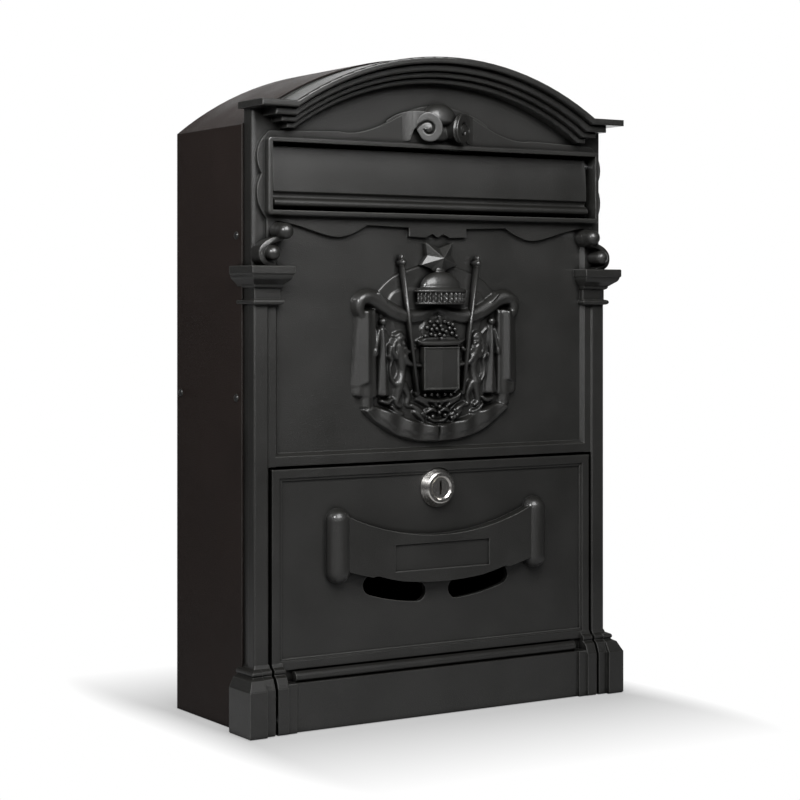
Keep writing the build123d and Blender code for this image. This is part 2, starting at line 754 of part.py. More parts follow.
def cam_washer():
    """Washer between the cam and its screw."""
    ring = Circle(2.4 * screw_radius) - Circle(screw_radius + running_gap)
    seat = cam_seat() + cam_wall
    return Pos(0, 0, lock_height) * slab(ring, seat + washer_wall, seat)


def cam_screw():
    """Slotted pan-head screw that holds the cam on the plug."""
    seat = cam_seat() + cam_wall + washer_wall
    head = rod_y(1.9 * screw_radius, seat + screw_head, seat, 0, lock_height)
    head = fillet(head.edges().group_by(Axis.Y)[-1], 0.4 * screw_head)
    slot = block(-screw_radius / 4, screw_radius / 4, seat + 2 * screw_head, seat + 0.6 * screw_head,
                 lock_height - 2 * screw_head, lock_height + 2 * screw_head)
    return head + rod_y(screw_radius, seat + overlap, cam_seat() - overlap, 0, lock_height) - slot


def console_scroll():
    """S-shaped scroll standing on a capital, on the right: an upper eye, a lower eye and a foot."""
    root = behind(plate_setback)
    slab_top = capital_profile()[-1][-1]
    upper_x = opening_half - console_upper_radius
    upper_z = slot_low - 7.2 - console_upper_radius
    lower_x = opening_half + 1.8
    lower_z = slab_top + 1.3 * console_lower_radius
    scroll = rod_y(console_upper_radius, root, ahead(console_reach), upper_x, upper_z)
    scroll += Pos(upper_x, ahead(console_reach), upper_z) * Sphere(0.82 * console_upper_radius)
    scroll += rod_y(console_lower_radius, root, ahead(console_reach + 2), lower_x, lower_z)
    scroll += Pos(lower_x, ahead(console_reach + 2.4), lower_z) * Sphere(0.6 * console_lower_radius)
    foot = Polyline((lower_x - 5.2, slab_top), (lower_x + 6.4, slab_top), (lower_x + 5.2, lower_z),
                    (lower_x - 3.8, lower_z), (lower_x - 5.2, slab_top))
    scroll += slab(make_face(foot), root, ahead(console_reach + 0.4))
    bridge = Polyline((upper_x - 2.5, upper_z - 5.0), (upper_x + 5.4, upper_z - 2.0),
                      (lower_x + 5.2, lower_z + 1.5), (lower_x - 3.4, lower_z + 4),
                      (upper_x - 2.5, upper_z - 5.0))
    return scroll + slab(make_face(bridge), root, ahead(console_reach - 0.4)) - strip()


def keystone_scroll():
    """Pair of volutes with a domed shell between them, on top of the cartouche."""
    root = ahead(cartouche_relief - plate_setback)
    centre = slot_top + frame_bar + volute_radius + overlap
    face = root - volute_reach
    volute = rod_y(volute_radius, root, face, volute_spread, centre)
    volute += rod_y(0.72 * volute_radius, face + overlap, face - 1.7, volute_spread, centre)
    volute += Pos(volute_spread, face - 1.5, centre) * Sphere(0.35 * volute_radius)
    waist = block(-volute_spread, volute_spread, root, root - 0.7 * volute_reach, centre - 6, centre + 3)
    dome = Pos(0, root, centre + 5) * scale(Sphere(dome_radius), by=(1, 0.62, 1))
    dome = dome & block(-dome_radius, dome_radius, root, root - dome_radius, centre, centre + 2 * dome_radius)
    return both_sides(volute) + waist + dome


def crest_root():
    """y of the crest panel's face."""
    return behind(plate_setback)


def crest_point(across, up):
    """A point of the crest in x and z; its drawing is measured from the foot of the crest."""
    return (across * crest_module, rail_top + crest_margin + up * crest_module)


def crest_place(across, proud, up):
    """A point of the crest that stands proud of the panel."""
    x, z = crest_point(across, up)
    return Vector(x, crest_root() - proud * crest_module, z)


def crest_ball(across, proud, up, radius):
    """A ball of the crest; one with its centre behind the panel shows as a low dome."""
    return Pos(crest_place(across, proud, up)) * Sphere(radius * crest_module)


def crest_drum(proud, low, high, radius):
    """An upright drum in the middle of the crest, sunk so that it stands proud of the panel."""
    start = crest_place(0, proud - radius, low)
    height = (high - low) * crest_module
    return Pos(start) * Pos(0, 0, height / 2) * Cylinder(radius * crest_module, height)


def crest_taper(low, high, low_radius, high_radius, proud):
    """A cone between two points of the crest, with its axis standing proud of the panel."""
    start = crest_place(low[0], proud, low[1])
    line = crest_place(high[0], proud, high[1]) - start
    cone = Cone(low_radius * crest_module, high_radius * crest_module, line.length)
    return Plane(origin=start, z_dir=line.normalized()) * (Pos(0, 0, line.length / 2) * cone)


def crest_arc(start, through, end):
    """An arc through three points of the crest."""
    return ThreePointArc(crest_point(*start), crest_point(*through), crest_point(*end))


def crest_plate(outline, proud):
    """A flat plate of the crest."""
    return slab(make_face(outline), crest_root(), crest_root() - proud * crest_module)


def crest_mantle():
    """Low field of the mantle and the ribbon that lies over its foot."""
    field = crest_arc((-42, 95), (-51, 60), (-50, 23))
    field += crest_arc((-50, 23), (-28, 10), (0, 5))
    field += crest_arc((0, 5), (28, 10), (50, 23))
    field += crest_arc((50, 23), (51, 60), (42, 95))
    field += crest_arc((42, 95), (0, 112), (-42, 95))
    ribbon = crest_arc((-54, 21), (-33, 6), (0, 0))
    ribbon += crest_arc((0, 0), (33, 6), (54, 21))
    ribbon += Line(crest_point(54, 21), crest_point(46.5, 24))
    ribbon += crest_arc((46.5, 24), (23, 13), (0, 9))
    ribbon += crest_arc((0, 9), (-23, 13), (-46.5, 24))
    ribbon += Line(crest_point(-46.5, 24), crest_point(-54, 21))
    return crest_plate(field, 1.0) + crest_plate(ribbon, 3.6)


def crest_drapes():
    """Gathered drapes, their tassels and knots, and the swags between them."""
    drape = crest_taper((52.7, 29), (52, 88), 7.0, 4.0, 0)
    drape += crest_taper((40, 28), (40, 74), 4.6, 1.8, 0)
    drape += crest_ball(40, 1.5, 76, 2.6)
    drape += crest_ball(55, 1.0, 88, 5.2)
    path = ThreePointArc(crest_place(54, 2.0, 89), crest_place(23, 2.0, 77.5), crest_place(0, 2.0, 84))
    drape += sweep(Plane(origin=path @ 0, z_dir=path % 0) * Circle(4.2 * crest_module), path=path)
    return both_sides(drape)


def crest_supporters():
    """Two standing beasts beside the shield, and the poles behind them."""
    beast = crest_ball(28.5, 2.0, 62.5, 5.0)
    beast += crest_taper((26.5, 36), (28, 58), 5.0, 4.6, 1.5)
    beast += crest_ball(26.5, 1.5, 36, 5.6)
    beast += crest_taper((30.5, 22), (26.5, 35), 2.6, 4.4, 1.0)
    beast += crest_taper((17, 31), (28.5, 117), 1.8, 1.5, 1.2)
    beast += crest_ball(28, 2.0, 112, 2.3)
    return both_sides(beast)


def crest_shield():
    """Plain shield with a roll above it, a cluster of pearls and the mound that it stands on."""
    sides = Polyline(crest_point(-13.5, 32), crest_point(13.5, 32), crest_point(13.5, 59),
                     crest_point(-13.5, 59), crest_point(-13.5, 32))
    shield = crest_plate(sides, 4.6)
    level = crest_point(0, 61.5)[1]
    half = 15.5 * crest_module
    shield += rod_x(2.4 * crest_module, -half, half, crest_root() - 2.4 * crest_module, level)
    shield += crest_ball(0, -6.0, 70, 11.0)
    return shield + crest_ball(0, -36.0, 22, 40.0)


def crest_crown():
    """Banded cap with a neck that carries the star."""
    cap = crest_drum(7.5, 87, 94, 20.0) + crest_drum(8.5, 94, 96.5, 21.0)
    return cap + crest_ball(0, -6.0, 95, 14.0) + crest_drum(3.0, 105, 110, 4.0)


def crest_star(points):
    """Faceted star with one ray down."""
    corners = []
    for step in range(2 * points):
        radius = star_reach if step % 2 == 0 else 0.42 * star_reach
        angle = math.radians(180 * step / points - 90)
        corners.append((radius * math.cos(angle), radius * math.sin(angle)))
    outline = Pos(*crest_point(0, 115.5)) * make_face(Polyline(*corners, corners[0]))
    seat = Plane.XZ.offset(-crest_root()) * outline
    peak = crest_place(0, 0, 115.5) - Vector(0, 0.5 * star_reach, 0)
    return loft([seat.faces()[0], Vertex(*peak)], ruled=True)


def crest():
    """Heraldic relief on the panel, each part cut off flat where it lies on the panel."""
    room = block(-panel_half, panel_half, crest_root(), ahead(lip_reach), rail_top, panel_top)
    relief = crest_mantle() & room
    for part in (crest_drapes(), crest_supporters(), crest_shield(), crest_crown(), crest_star(5)):
        relief += part & room
    return relief


def pieces():
    """Every piece by its node name."""
    pin = hinge_pin()
    console = console_scroll()
    return {
        "front_casting": front_casting(),
        "crest": crest(),
        "keystone_scroll": keystone_scroll(),
        "console_right": console,
        "console_left": mirror(console, about=Plane.YZ),
        "body_shell": body_shell(),
        "back_panel": back_panel(),
        "bottom_panel": bottom_panel(),
        "side_rivets": side_rivets(),
        "back_rivets": back_rivets(),
        "letter_flap": letter_flap(),
        "flap_rod": flap_rod(),
        "rod_clips": rod_clips(),
        "clip_screws": clip_screws(),
        "door": door(),
        "hinge_pin_right": pin,
        "hinge_pin_left": mirror(pin, about=Plane.YZ),
        "lock_housing": lock_housing(),
        "lock_nut": lock_nut(),
        "lock_plug": lock_plug(),
        "lock_cam": lock_cam(),
        "cam_washer": cam_washer(),
        "cam_screw": cam_screw(),
    }


os.makedirs("parts", exist_ok=True)
for name, piece in pieces().items():
    export_step(Pos(0, 0, -mount_height) * piece, f"parts/{name}.step")
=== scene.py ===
import math
import bmesh
import bpy
import numpy as np
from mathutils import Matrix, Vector


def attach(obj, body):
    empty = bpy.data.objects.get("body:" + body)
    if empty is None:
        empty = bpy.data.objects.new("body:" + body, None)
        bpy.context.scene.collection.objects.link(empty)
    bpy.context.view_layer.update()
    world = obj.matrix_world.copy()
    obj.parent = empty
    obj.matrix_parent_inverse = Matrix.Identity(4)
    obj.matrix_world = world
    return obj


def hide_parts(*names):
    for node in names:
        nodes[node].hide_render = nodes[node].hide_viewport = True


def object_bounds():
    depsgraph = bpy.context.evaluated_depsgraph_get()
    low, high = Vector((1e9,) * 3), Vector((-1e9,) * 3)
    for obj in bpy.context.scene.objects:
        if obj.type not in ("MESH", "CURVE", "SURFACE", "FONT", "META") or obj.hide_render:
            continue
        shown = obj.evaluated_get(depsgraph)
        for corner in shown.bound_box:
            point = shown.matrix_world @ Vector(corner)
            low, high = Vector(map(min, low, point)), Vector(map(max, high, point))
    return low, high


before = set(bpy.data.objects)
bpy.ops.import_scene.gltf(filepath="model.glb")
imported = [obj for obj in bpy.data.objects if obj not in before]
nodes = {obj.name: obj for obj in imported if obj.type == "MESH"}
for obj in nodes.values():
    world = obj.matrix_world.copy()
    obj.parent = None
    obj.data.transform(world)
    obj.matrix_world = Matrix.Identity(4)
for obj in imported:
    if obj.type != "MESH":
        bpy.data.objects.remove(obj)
cad_low, cad_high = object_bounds()

MM = 0.001
MOUNT_HEIGHT = 200.0   # height of the frame's origin above the box's underside, mm
FACE = 105.0           # pilaster face, mm from the wall


def place(across, ahead, height):
    """Point in metres from mm across, ahead of the pilaster face and above the underside."""
    return (across * MM, -(FACE + ahead) * MM, (height - MOUNT_HEIGHT) * MM)


# Materials

def material(name):
    made = bpy.data.materials.new(name)
    made.use_nodes = True
    tree = made.node_tree
    return made, tree, tree.nodes["Principled BSDF"]


def noise(tree, scale, detail, coordinates, roughness=0.5):
    node = tree.nodes.new("ShaderNodeTexNoise")
    node.inputs["Scale"].default_value = scale
    node.inputs["Detail"].default_value = detail
    node.inputs["Roughness"].default_value = roughness
    tree.links.new(coordinates, node.inputs["Vector"])
    return node.outputs["Fac"]


def ranged(tree, value, low, high, from_low=0.3, from_high=0.7):
    node = tree.nodes.new("ShaderNodeMapRange")
    node.inputs["From Min"].default_value = from_low
    node.inputs["From Max"].default_value = from_high
    node.inputs["To Min"].default_value = low
    node.inputs["To Max"].default_value = high
    tree.links.new(value, node.inputs["Value"])
    return node.outputs["Result"]


def bumped(tree, height, strength, distance, normal=None):
    node = tree.nodes.new("ShaderNodeBump")
    node.inputs["Strength"].default_value = strength
    node.inputs["Distance"].default_value = distance
    tree.links.new(height, node.inputs["Height"])
    if normal is not None:
        tree.links.new(normal, node.inputs["Normal"])
    return node.outputs["Normal"]


def object_coordinates(tree):
    return tree.nodes.new("ShaderNodeTexCoord").outputs["Object"]


def mixed(tree, factor, first, second, blend="MIX"):
    """Mix of two colours; what is a socket is linked, and what is a value is set."""
    node = tree.nodes.new("ShaderNodeMix")
    node.data_type = "RGBA"
    node.blend_type = blend
    for key, given in (("Factor", factor), ("A", first), ("B", second)):
        if isinstance(given, bpy.types.NodeSocket):
            tree.links.new(given, node.inputs[key])
        else:
            node.inputs[key].default_value = given
    return node.outputs["Result"]


def figured(tree, operation, first, second=0.0):
    """Result of one sum on one or two values, each a socket or a number."""
    node = tree.nodes.new("ShaderNodeMath")
    node.operation = operation
    for value, socket in zip((first, second), node.inputs):
        if isinstance(value, (int, float)):
            socket.default_value = value
        else:
            tree.links.new(value, socket)
    return node.outputs[0]


def axes(tree, vector):
    """The x, y and z of a vector."""
    node = tree.nodes.new("ShaderNodeSeparateXYZ")
    tree.links.new(vector, node.inputs[0])
    return node.outputs


CLOUD_SCALE = 28           # noise per metre: patches of the coat, its orange peel and its grain
PEEL_SCALE = 420
GRAIN_SCALE = 1300
PEEL_STRENGTH = 0.25
PEEL_DEPTH = 0.15 * MM
GRAIN_DEPTH = 0.30 * MM
COAT_ROUGHNESS = 0.20
HOLLOW_REACH = 5.0 * MM    # painted shade: a hollow narrower than this is drawn darker
HOLLOW_SAMPLES = 12
HOLLOW_OPEN = (0.40, 0.86) # openness at which the painted shade is darkest, and at which it ends
HOLLOW_SHADE_SHARE = 0.22        # tone and gloss left in a hollow by the painted shade
EDGE_RADIUS = 0.8 * MM
EDGE_SAMPLES = 6
EDGE_TURN = (0.75, 0.98)   # cosine between the soft and the true normal, on an edge and off it
# painted highlight: convex edges are drawn paler, towards this tone
EDGE_HIGHLIGHT_TONE = (0.09, 0.09, 0.085, 1)
TOP_SHADE_TILT = (0.3, 0.8)      # upward part of the normal at which the gloss starts and ends to fall, a painted shade on tops
TOP_SHADE_SHARE = 0.1            # gloss left on a top by the painted shade


def powder_coat(name, dark, light, rough_low, rough_high, grain, specular, gloss=0.0):
    """Black coat with a fine grain and a cloudy tone, a painted highlight on its edges, painted shade that
    darkens it in hollows, and painted shade that dulls its tops.
    """
    made, tree, shader = material(name)
    place_in = object_coordinates(tree)
    cloud = noise(tree, CLOUD_SCALE, 5, place_in)
    fine = noise(tree, GRAIN_SCALE, 3, place_in, 0.65)
    coarse = noise(tree, PEEL_SCALE, 2, place_in)
    # painted shade: ambient occlusion darkens the coat's tone and gloss in hollows
    hollow = tree.nodes.new("ShaderNodeAmbientOcclusion")
    hollow.samples = HOLLOW_SAMPLES
    hollow.inputs["Distance"].default_value = HOLLOW_REACH
    edge = tree.nodes.new("ShaderNodeBevel")
    edge.samples = EDGE_SAMPLES
    edge.inputs["Radius"].default_value = EDGE_RADIUS
    turned = tree.nodes.new("ShaderNodeVectorMath")
    turned.operation = "DOT_PRODUCT"
    tree.links.new(edge.outputs["Normal"], turned.inputs[0])
    tree.links.new(tree.nodes.new("ShaderNodeNewGeometry").outputs["Normal"], turned.inputs[1])
    # painted shade on tops: less gloss where the surface faces up
    upward = axes(tree, tree.nodes.new("ShaderNodeTexCoord").outputs["Normal"])["Z"]
    upright = ranged(tree, upward, 1.0, TOP_SHADE_SHARE, *TOP_SHADE_TILT)

    def hollow_shaded(full):
        return ranged(tree, hollow.outputs["AO"], HOLLOW_SHADE_SHARE * full, full, *HOLLOW_OPEN)

    def shaded_share(full):
        return figured(tree, "MULTIPLY", hollow_shaded(full), upright)

    clouded = mixed(tree, ranged(tree, cloud, 0, 1), (*dark, 1), (*light, 1))
    # painted highlight: the coat is drawn paler where the soft normal turns away from the true one
    edge_highlighted = mixed(tree, ranged(tree, turned.outputs["Value"], 1.0, 0.0, *EDGE_TURN), clouded, EDGE_HIGHLIGHT_TONE)
    tree.links.new(mixed(tree, 1.0, edge_highlighted, hollow_shaded(1.0), "MULTIPLY"), shader.inputs["Base Color"])
    tree.links.new(ranged(tree, cloud, rough_low, rough_high), shader.inputs["Roughness"])
    tree.links.new(shaded_share(specular), shader.inputs["Specular IOR Level"])
    tree.links.new(shaded_share(gloss), shader.inputs["Coat Weight"])
    shader.inputs["Coat Roughness"].default_value = COAT_ROUGHNESS
    rolling = bumped(tree, coarse, PEEL_STRENGTH, PEEL_DEPTH, edge.outputs["Normal"])
    tree.links.new(bumped(tree, fine, grain, GRAIN_DEPTH, rolling), shader.inputs["Normal"])
    return made


SCRATCH_DEPTH = 0.05 * MM
SCRATCHES = 9              # scratches for each patch of tone


def metal(name, dark, light, rough_low, rough_high, scale, scratch):
    """Bare or plated metal with a brushed, slightly uneven surface."""
    made, tree, shader = material(name)
    place_in = object_coordinates(tree)
    cloud = noise(tree, scale, 4, place_in)
    fine = noise(tree, scale * SCRATCHES, 2, place_in)
    clouded = mixed(tree, ranged(tree, cloud, 0, 1), (*dark, 1), (*light, 1))
    tree.links.new(clouded, shader.inputs["Base Color"])
    tree.links.new(ranged(tree, fine, rough_low, rough_high), shader.inputs["Roughness"])
    shader.inputs["Metallic"].default_value = 1.0
    tree.links.new(bumped(tree, fine, scratch, SCRATCH_DEPTH), shader.inputs["Normal"])
    return made


cast_front = powder_coat("cast_front", dark=(0.0105, 0.0103, 0.0094), light=(0.0150, 0.0147, 0.0137),
                         rough_low=0.40, rough_high=0.50, grain=0.95, specular=0.5, gloss=0.7)
sheet_steel = powder_coat("sheet_steel", dark=(0.0150, 0.0100, 0.0086), light=(0.0200, 0.0140, 0.0122),
                          rough_low=0.46, rough_high=0.58, grain=0.60, specular=0.18)
painted_rivet = powder_coat("painted_rivet", dark=(0.012, 0.012, 0.012), light=(0.018, 0.018, 0.018),
                            rough_low=0.26, rough_high=0.36, grain=0.15, specular=0.5)
zinc_steel = metal("zinc_steel", dark=(0.42, 0.43, 0.44), light=(0.56, 0.57, 0.58),
                   rough_low=0.28, rough_high=0.42, scale=160, scratch=0.25)
lock_chrome = metal("lock_chrome", dark=(0.72, 0.70, 0.67), light=(0.84, 0.82, 0.79),
                    rough_low=0.20, rough_high=0.28, scale=220, scratch=0.08)

FINISHES = {
    cast_front: ["front_casting", "crest", "keystone_scroll", "console_right", "console_left",
                 "letter_flap", "door"],
    sheet_steel: ["body_shell", "back_panel", "bottom_panel"],
    painted_rivet: ["side_rivets", "back_rivets"],
    zinc_steel: ["flap_rod", "rod_clips", "clip_screws", "hinge_pin_right", "hinge_pin_left",
                 "lock_nut", "lock_cam", "cam_washer", "cam_screw"],
    lock_chrome: ["lock_housing", "lock_plug"],
}
for finish, names in FINISHES.items():
    for name in names:
        mesh = nodes[name].data
        mesh.materials.clear()
        mesh.materials.append(finish)


# Crest, drawn as heights above the panel, in mm across from the middle and up from the crest's foot

CREST_FOOT = 169.6
CREST_PANEL = -3.5     # ahead of the pilaster face
CREST_STEP = 0.5
CREST_HALF = 64
CREST_LOW, CREST_TOP = -3, 131
CREST_SUNK = 0.6       # depth of the relief's back below the panel's face
WALL_SUNK = 0.3        # depth of the foot of its walls
WALL_KEPT = -0.25      # height from which a cell is part of the relief
DRAFT = 3.5            # fall of a wall for each mm away from a shape
across, up = np.meshgrid(np.arange(-CREST_HALF, CREST_HALF + CREST_STEP / 2, CREST_STEP),
                         np.arange(CREST_LOW, CREST_TOP + CREST_STEP / 2, CREST_STEP))
side = np.abs(across)


def rounded(distance, radius, base=0.0, lift=1.0):
    """Height of a rounded form: a circle's arc inside the radius, a steep wall outside it."""
    inside = np.sqrt(np.maximum(radius**2 - distance**2, 0)) * lift
    return base + inside - DRAFT * np.maximum(distance - radius, 0)


def strand(points, base=0.0, lift=1.0, x=None):
    """Rounded rope through (across, up, radius) points."""
    x = side if x is None else x
    height = np.full_like(x, -99.0)
    for (a0, u0, r0), (a1, u1, r1) in zip(points, points[1:]):
        length = (a1 - a0)**2 + (u1 - u0)**2
        share = np.clip(((x - a0) * (a1 - a0) + (up - u0) * (u1 - u0)) / length, 0, 1)
        distance = np.hypot(x - a0 - share * (a1 - a0), up - u0 - share * (u1 - u0))
        radius = r0 + share * (r1 - r0)
        height = np.maximum(height, rounded(distance, radius, base, lift))
    return height


def smooth_line(points, count=8):
    """Catmull-Rom line through points, with count steps between two of them."""
    ends = [np.array(p, float) for p in points]
    ends = [2 * ends[0] - ends[1], *ends, 2 * ends[-1] - ends[-2]]
    line = []
    for before, first, second, after in zip(ends, ends[1:], ends[2:], ends[3:]):
        for t in np.arange(count) / count:
            line.append(0.5 * (2 * first + (second - before) * t
                               + (2 * before - 5 * first + 4 * second - after) * t**2
                               + (3 * first - before - 3 * second + after) * t**3))
    line.append(ends[-2])
    return line


def rope(points, base=0.0, lift=1.0, x=None, count=6):
    return strand(smooth_line(points, count), base, lift, x)


def knob(a, u, radius, base=0.0, lift=1.0, x=None):
    x = side if x is None else x
    return rounded(np.hypot(x - a, up - u), radius, base, lift)


def joined(first, second, softness=0.5):
    """The higher of two reliefs, with a small fillet where they meet."""
    near = np.maximum(softness - np.abs(first - second), 0) / softness
    return np.maximum(first, second) + near**2 * softness / 4


def edge_distance(outline, x=None):
    """Signed distance to a closed outline, above zero inside it."""
    x = side if x is None else x
    distance = np.full_like(x, 1e9)
    inside = np.zeros(x.shape, bool)
    for (a0, u0), (a1, u1) in zip(outline, outline[1:] + outline[:1]):
        length = max((a1 - a0)**2 + (u1 - u0)**2, 1e-9)
        share = np.clip(((x - a0) * (a1 - a0) + (up - u0) * (u1 - u0)) / length, 0, 1)
        distance = np.minimum(distance, np.hypot(x - a0 - share * (a1 - a0), up - u0 - share * (u1 - u0)))
        crosses = (u0 > up) != (u1 > up)
        inside ^= crosses & (x < (a1 - a0) * (up - u0) / (u1 - u0 + 1e-12) + a0)
    return np.where(inside, distance, -distance)


def plateau(outline, height, x=None):
    """Flat raised field with drafted walls."""
    return np.minimum(height, edge_distance(outline, x) * DRAFT + height * 0.5)


def groove(relief, points, depth, width):
    """The relief with a soft groove along a line of (across, up) points."""
    nearest = np.full_like(side, 99.0)
    for (a0, u0), (a1, u1) in zip(points, points[1:]):
        length = (a1 - a0)**2 + (u1 - u0)**2
        share = np.clip(((side - a0) * (a1 - a0) + (up - u0) * (u1 - u0)) / length, 0, 1)
        nearest = np.minimum(nearest, np.hypot(side - a0 - share * (a1 - a0), up - u0 - share * (u1 - u0)))
    return relief - depth * np.exp(-(nearest / width)**2)


def lines(*groups):
    """Several smooth lines as one outline."""
    return [tuple(point) for group in groups for point in smooth_line(group, 6)]


def roped(relief, ropes):
    """The relief with ropes, each a base height, a softness and (across, up, radius) points."""
    for base, softness, points in ropes:
        relief = joined(relief, rope(points, base), softness)
    return relief


def with_pavilion(relief):
    """Arched cloth behind the crown, a lower arch before it and the ground of the beasts."""
    arc = lines([(0, 112), (12, 110.2), (28, 105.2), (36, 100.5), (42, 95)])
    inner_arc = lines([(0, 96), (16, 96), (29, 94.7), (34, 91.3), (36, 87)])
    for outline, height in (([*arc, (40, 60), (0, 60)], 1.2), ([*inner_arc, (30, 62), (0, 62)], 2.1),
                            ([(0, 80), (36, 84), (38, 60), (36, 30), (27, 14), (0, 10)], 1.3)):
        relief = np.maximum(relief, plateau(outline, height))
    return relief


def with_drapes(relief):
    """Two short lengths of cloth that show at the hem, a large fold before them and a narrow one inside."""
    def hung(height, outline, wall):
        return joined(relief, np.minimum(height, edge_distance(outline) * DRAFT + wall), 0.3)

    ridge = 1.5 * np.exp(-((side - 50.4) / 2.4)**2)
    relief = hung(2.6 + ridge, [(45.5, 82), (55.6, 82), (54.6, 22.6), (50, 21.4), (46, 22.8)], 1.2)
    relief = hung(3.6 + 0.5 * ridge - 0.9 * np.maximum(side - 57.2, 0),
                  [(44.8, 82), (57.6, 82), (60.2, 32), (59.4, 30.2), (52, 28.6), (44.4, 28.6)], 1.6)
    fold = np.interp(side, [44.6, 46.4, 48.2, 49.8, 51.0, 52.0, 53.0, 55.0, 57.5, 60.4],
                     [2.8, 3.0, 3.5, 4.9, 6.2, 6.6, 6.2, 5.0, 3.5, 1.0])
    relief = hung(fold, [(44.8, 83), (57.8, 83), (60.4, 36), (56, 35.8), (51, 37.2), (47, 36.8), (44.8, 36)],
                  2.6)
    spread = np.clip((75.5 - up) / 45.5, 0.12, 1.1)
    fold = np.interp((side - 40) / spread, [-4.6, -3, -1.6, -0.5, 1.2, 3.6], [3.0, 3.8, 5.2, 5.4, 4.3, 3.4])
    relief = hung(fold, [(39.4, 76), (40.8, 76), (43.6, 30.2), (40, 29), (35.4, 29.8)], 2.2)
    for base, cord in ((2.8, [(42.2, 70.3, 0.9), (45.1, 56.0, 1.2)]),
                       (3.0, [(45.1, 57.5, 1.5), (45.2, 55.4, 1.5)]),
                       (2.0, [(37.6, 71, 0.5), (33.6, 67.4, 0.5)])):
        relief = joined(relief, strand(cord, base))
    return relief


def with_swag(relief):
    """Rolled cloth over the drapes, with a turned-back end and a crease."""
    swag = [(55.4, 80.6, 2.5), (57.0, 84.4, 3.2), (55.8, 88.8, 4.2), (50, 90.4, 4.9), (43.5, 88, 4.7),
            (37.5, 84.3, 4.8), (31.5, 81.2, 4.9), (24.5, 79, 4.7), (18, 78.3, 4.4), (11, 79.4, 3.9),
            (5, 81.6, 3.0), (0, 83.4, 2.2)]
    end = [(55.0, 79.8, 2.5), (56.9, 83.6, 3.2), (55.6, 88.6, 3.6), (51, 90.6, 3.6), (45.5, 90.0, 2.2)]
    relief = joined(relief, rope(swag, 1.7, 0.95), 0.6)
    relief = joined(relief, plateau([(47.0, 94.0), (43.4, 93.8), (36.4, 87.6), (38.8, 86.8)], 7.0), 0.3)
    relief = joined(relief, rope(end, 3.4, 0.9), 0.5)
    return groove(relief, smooth_line([(30, 79.6), (22, 76.6), (14, 77.0), (6, 80.4)], 5), 0.5, 0.9)


def with_mound(relief):
    """Mound under the pearls, and the eaves and back of the shield."""
    relief = joined(relief, plateau([(0, 80), (10, 77.5), (13, 71), (12, 64.5), (0, 64)], 3.8), 0.5)
    return joined(relief, plateau([(0, 66.6), (10.6, 66), (15.8, 63.4), (15.2, 60), (0, 60)], 5.6), 0.4)


BODY = [(2.2, 0.6, [(28.4, 60, 3.9), (26.6, 53.5, 3.7), (26.0, 44.5, 2.6), (27.9, 37, 3.6)])]
MUZZLE_AND_MANE = [
    (4.0, 0.5, [(26.6, 61, 2.5), (24.6, 58.8, 1.7)]),
    (4.2, 0.4, [(25.4, 65.4, 1.0), (28.4, 67.8, 1.3), (31.4, 66.4, 1.1)]),
    (4.2, 0.4, [(32.0, 63.0, 1.4), (33.0, 58.0, 1.2), (31.4, 54.0, 0.8)]),
    (4.2, 0.4, [(29.8, 58.4, 1.4), (30.4, 52.8, 0.9)]),
    (4.2, 0.4, [(27.0, 57.4, 1.3), (27.6, 52.0, 0.9)]),
    (4.2, 0.4, [(23.8, 56.6, 1.2), (23.0, 53.0, 0.8)]),
    (4.2, 0.4, [(34.6, 60.0, 1.1), (35.2, 55.6, 0.9), (33.4, 52.0, 0.7)]),
]
LIMBS_AND_TAIL = [
    (2.6, 0.5, [(27.8, 36.5, 3.1), (29.2, 30, 2.1), (30.0, 24.8, 1.5), (27.4, 22.8, 1.4)]),
    (2.4, 0.5, [(25, 36, 2.7), (21.6, 29.5, 1.9), (22.6, 24, 1.4), (20, 22.8, 1.2)]),
    (3.0, 0.4, [(30.5, 36, 0.9), (34, 41, 0.9), (34.8, 46, 0.8), (33.8, 51.0, 0.9), (35.8, 54.2, 1.3)]),
    (4.4, 0.5, [(25.2, 53.6, 2.0), (21.4, 49.4, 1.6), (13.2, 47.8, 1.2)]),
    (4.0, 0.5, [(25.4, 57.6, 1.6), (21.2, 56.6, 1.4), (17.6, 58.8, 1.2)]),
]
LEAVES_AND_CORD = [
    (3.0, 0.4, [(19.5, 23.5, 1.0), (15, 20.8, 1.7), (9.5, 16.6, 1.0)]),
    (3.0, 0.4, [(15.5, 27, 1.0), (11.5, 25.6, 1.6), (7, 22.6, 0.9)]),
    (3.0, 0.4, [(17.5, 19.2, 0.8), (13.6, 16.6, 1.5), (10.4, 13.4, 0.8)]),
    (3.0, 0.4, [(8, 19, 1.0), (4.6, 20.6, 1.5), (1.4, 19, 0.9)]),
    (3.0, 0.4, [(7.4, 27.4, 0.9), (4, 25.6, 1.3), (0.6, 22.4, 0.9)]),
    (3.0, 0.4, [(6.6, 15.4, 0.9), (3.6, 13.4, 1.3), (0, 13, 0.9)]),
    (3.0, 0.4, [(33, 27.4, 0.8), (36.6, 25.4, 1.4), (40.6, 26.4, 0.9)]),
    (3.0, 0.4, [(33.4, 23, 0.8), (30, 19.6, 1.3), (25.6, 18.2, 0.9)]),
    (4.4, 0.4, [(16.9, 31, 0.9), (13.6, 28.2, 0.9), (7, 26.0, 0.9), (0, 25.3, 0.9)]),
]


def with_beasts(relief):
    """Beasts that hold the shield, with grooves for the mouth and the eye."""
    relief = roped(relief, BODY)
    relief = joined(relief, knob(28.6, 64.2, 4.2, 2.0), 0.5)
    relief = roped(relief, MUZZLE_AND_MANE)
    relief = groove(relief, [(24.2, 60.4), (26.6, 60.0), (27.6, 61.2)], 1.5, 0.55)
    relief = groove(relief, [(27.0, 63.8), (28.0, 63.9)], 0.9, 0.6)
    return roped(relief, LIMBS_AND_TAIL)


